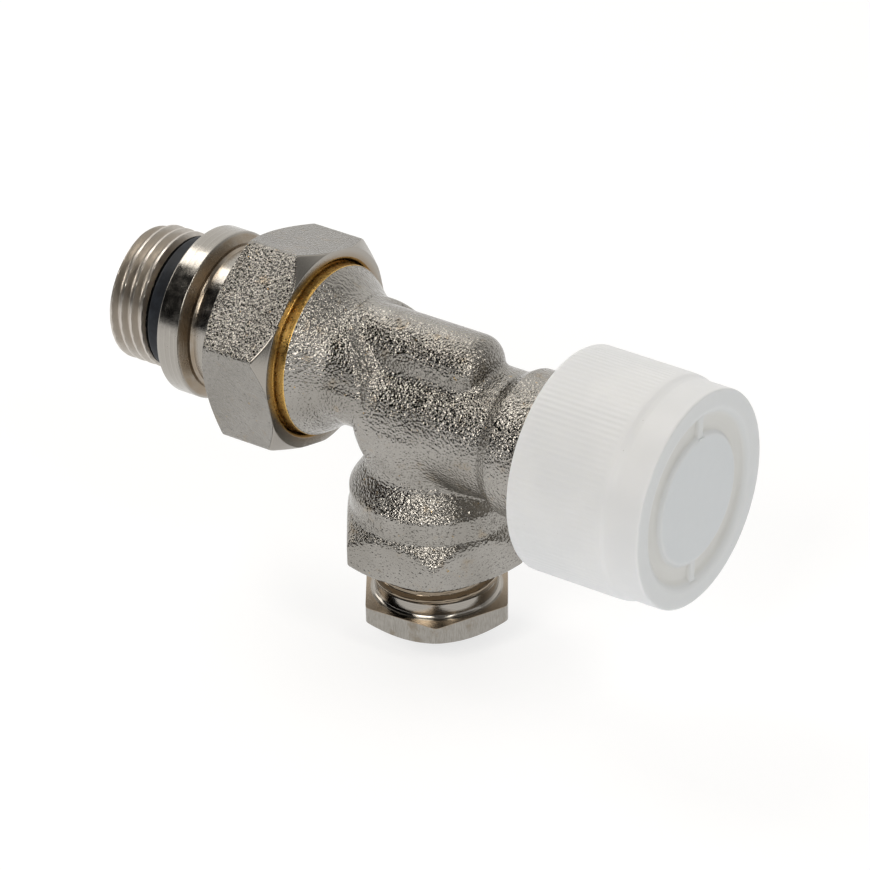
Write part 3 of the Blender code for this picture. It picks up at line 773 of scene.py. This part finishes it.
def white_plastic():
    """Moulded translucent plastic: painted shade on the face and on the bluish disc, creamy groove,
    faint scuffs and dust specks.
    """
    made, tree, shader, place = material("plastic_white", 0.0, 0.42, Subsurface_Weight=0.35,
                                         Subsurface_Radius=(1.0, 1.0, 1.1), Subsurface_Scale=0.0012,
                                         Specular_IOR_Level=0.4)
    along, away = round_place(tree, place, "X", HEAD)[:2]
    broad = between(tree, noise(tree, place, 12.0, 3.0), 0.35, 0.65)
    colour = mixed(tree, broad, *PLASTIC)
    on_face = between(tree, along, CAP_DISC_X, CAP_FACE - 0.05)
    recess = times(tree, between(tree, along, 84.2, 84.6), between(tree, away, 13.6, 13.8, 1.0, 0.0))
    on_face = larger(tree, on_face, recess)
    # Painted shade: the face and the recess are made darker than the skirt.
    colour = mixed(tree, on_face, colour, FACE_PAINTED_SHADE)
    disc = times(tree, on_face, between(tree, away, 9.3, 9.9, 1.0, 0.0))
    groove = times(tree, on_face, between(tree, away, 9.9, 10.4))
    groove = times(tree, groove, between(tree, along, 85.0, 85.7, 1.0, 0.0))
    # Painted shade: the disc is made darker and bluish.
    colour = mixed(tree, disc, colour, DISC_PAINTED_SHADE)
    colour = mixed(tree, times(tree, groove, 0.8), colour, PLASTIC_GROOVE)
    dust = between(tree, noise(tree, place, 0.55, 2.0), 0.78, 0.82, 0.0, 0.5)
    colour = mixed(tree, dust, colour, DUST)
    scuff_noise = noise(tree, scaled(tree, place, (0.25, 1.0, 0.5)), 0.9, 5.0, 0.7)
    scuff = between(tree, scuff_noise, 0.66, 0.74, 0.0, 0.35)
    colour = mixed(tree, scuff, colour, SCUFF)
    rough = between(tree, noise(tree, place, 1.2, 4.0, 0.6), 0.3, 0.7, 0.36, 0.50)
    painted(tree, shader, colour, rough)
    bumped(tree, shader, noise(tree, place, 0.25, 3.0), 0.008)
    return made


def ground_steel():
    """Ground spring wire."""
    made, tree, shader, place = material("steel_ground", 1.0)
    lines = ring_lines(tree, round_place(tree, place, "X", HEAD)[2], 0.06)
    colour = mixed(tree, between(tree, lines, 0.3, 0.7), *STEEL)
    painted(tree, shader, colour, between(tree, noise(tree, place, 0.9, 3.0), 0.3, 0.7, 0.18, 0.30))
    bumped(tree, shader, lines, 0.01)
    return made


# ---------------------------------------------------------------- stage

# The camera, fitted to the photo: angles in degrees, lengths in metres
VIEW_AZIMUTH, VIEW_ELEVATION, VIEW_ROLL = 35.0, 31.68, -1.65
VIEW_DISTANCE = 0.8636
VIEW_TARGET = (0.040517, 0.0, -0.0089)
LENS, SENSOR = 244.97, 36.0                 # millimetres
CLIP_NEAR, CLIP_FAR = 0.01, 20.0

# The studio, in metres
LIGHT_COLOUR, ROOM_COLOUR = (1.0, 0.96, 0.90), (1.0, 0.985, 0.96, 1.0)
FLOOR_HALF, FLOOR_GAP, FLOOR_GLOW = 3.0, 0.0001, 0.72
FLOOR_FADE = 0.3, 1.4                       # distances between which the floor gets darker
FLOOR_NEAR, FLOOR_FAR = (0.34, 0.34, 0.34), (0.26, 0.26, 0.26)
GLOW_NEAR, GLOW_FAR = (1.0, 1.0, 1.0), (0.80, 0.80, 0.80)
DARK_TOWARDS = (-0.533, -0.733, 0.423)      # middle of the dark part of the room
LIGHTS = (                                  # name, place from the valve, width, height, radiance
    ("left_high", (-0.47, 0.08, 0.765), 0.34, 0.42, 4.2),
    ("left_side", (-0.85, 0.0, 0.36), 0.4, 0.4, 2.8),
    ("front_left", (0.084, -0.684, 0.579), 0.36, 0.36, 7.5),
    ("front_right", (0.600, -0.243, 0.625), 0.22, 0.26, 9.0))


def make_camera():
    """A long lens from above and to the right of the cap, rolled a little as in the photo."""
    a, e, r = (math.radians(angle) for angle in (VIEW_AZIMUTH, VIEW_ELEVATION, VIEW_ROLL))
    back = Vector((math.sin(a) * math.cos(e), -math.cos(a) * math.cos(e), math.sin(e)))
    right = Vector((math.cos(a), math.sin(a), 0.0))
    up = back.cross(right)
    right, up = math.cos(r) * right + math.sin(r) * up, math.cos(r) * up - math.sin(r) * right
    data = bpy.data.cameras.new("camera")
    data.sensor_width = SENSOR
    data.lens = LENS
    data.clip_start = CLIP_NEAR
    data.clip_end = CLIP_FAR
    camera = bpy.data.objects.new("camera", data)
    bpy.context.scene.collection.objects.link(camera)
    turn = Matrix((right, up, back)).transposed().to_4x4()
    camera.matrix_world = Matrix.Translation(Vector(VIEW_TARGET) + back * VIEW_DISTANCE) @ turn
    bpy.context.scene.camera = camera


def soft_light(name, place, aim, width, height, radiance):
    """A rectangular area light, given the radiance of its face."""
    data = bpy.data.lights.new(name, "AREA")
    data.shape = "RECTANGLE"
    data.size = width
    data.size_y = height
    data.energy = radiance * math.pi * width * height
    data.color = LIGHT_COLOUR
    light = bpy.data.objects.new(name, data)
    bpy.context.scene.collection.objects.link(light)
    light.location = place
    light.rotation_euler = (Vector(aim) - Vector(place)).to_track_quat("-Z", "Y").to_euler()


def make_floor():
    """A plain pale floor that glows a little, so that it stays white under soft light."""
    made, tree, shader, place = material("floor_white", 0.0, 0.9, Specular_IOR_Level=0.1,
                                         Emission_Strength=FLOOR_GLOW)
    from_centre = add(tree, "VectorMath", {0: place}, operation="LENGTH").outputs["Value"]
    fade = between(tree, from_centre, *FLOOR_FADE)
    tree.links.new(mixed(tree, fade, FLOOR_NEAR, FLOOR_FAR), shader.inputs["Base Color"])
    tree.links.new(mixed(tree, fade, GLOW_NEAR, GLOW_FAR), shader.inputs["Emission Color"])
    mesh = bpy.data.meshes.new("floor")
    corners = ((-1, -1), (1, -1), (1, 1), (-1, 1))
    mesh.from_pydata([(x * FLOOR_HALF, y * FLOOR_HALF, FLOOR_Z * MM - FLOOR_GAP) for x, y in corners],
                     [], [(0, 1, 2, 3)])
    mesh.materials.append(made)
    floor = bpy.data.objects.new("floor", mesh)
    bpy.context.scene.collection.objects.link(floor)


def make_studio():
    """A room that is bright behind the valve and dark to the camera's left, and four soft lights.

    The dark part gives the nickel its dark reflections.
    """
    world = bpy.data.worlds.new("studio")
    world.use_nodes = True
    tree = world.node_tree
    toward = add(tree, "TexCoord").outputs["Generated"]
    behind = (-math.sin(math.radians(VIEW_AZIMUTH)), math.cos(math.radians(VIEW_AZIMUTH)), 0.0)
    facing = add(tree, "VectorMath", {0: toward, 1: behind}, operation="DOT_PRODUCT")
    level = between(tree, facing.outputs["Value"], -0.2, 0.75, 0.22, 1.05)
    dark_side = add(tree, "VectorMath", {0: toward, 1: DARK_TOWARDS}, operation="DOT_PRODUCT")
    dark = between(tree, dark_side.outputs["Value"], 0.30, 0.68, 1.0, 0.02)
    background = tree.nodes["Background"]
    tree.links.new(times(tree, level, dark), background.inputs["Strength"])
    background.inputs["Color"].default_value = ROOM_COLOUR
    bpy.context.scene.world = world

    target = Vector(VIEW_TARGET)
    for name, place, width, height, radiance in LIGHTS:
        soft_light(name, target + Vector(place), target, width, height, radiance)
    bpy.context.scene.view_settings.view_transform = "Standard"


def main():
    """Everything in the scene, and a look for each CAD node that still shows."""
    looks = {"blasted": blasted_nickel(), "nut": nut_nickel(), "turned": turned_nickel(),
             "bright": bright_nickel(), "brass": turned_brass(), "rubber": black_rubber(),
             "plastic": white_plastic(), "steel": ground_steel()}
    make_camera()
    make_floor()
    make_studio()
    for make in (make_body, make_tail, make_union_nut, make_pipe_nut, make_cap, make_spring):
        make(looks)
    inner = {slot: looks[slot] for slot in ("brass", "steel", "rubber")}
    inner["nickel"] = looks["turned"]
    slots = {part["node"]: part["material_slot"] for part in frame["record"]["subparts"]}
    for name, node in frame["nodes"].items():
        if not node.hide_render:
            node.data.materials.clear()
            node.data.materials.append(inner[slots[name]])


main()
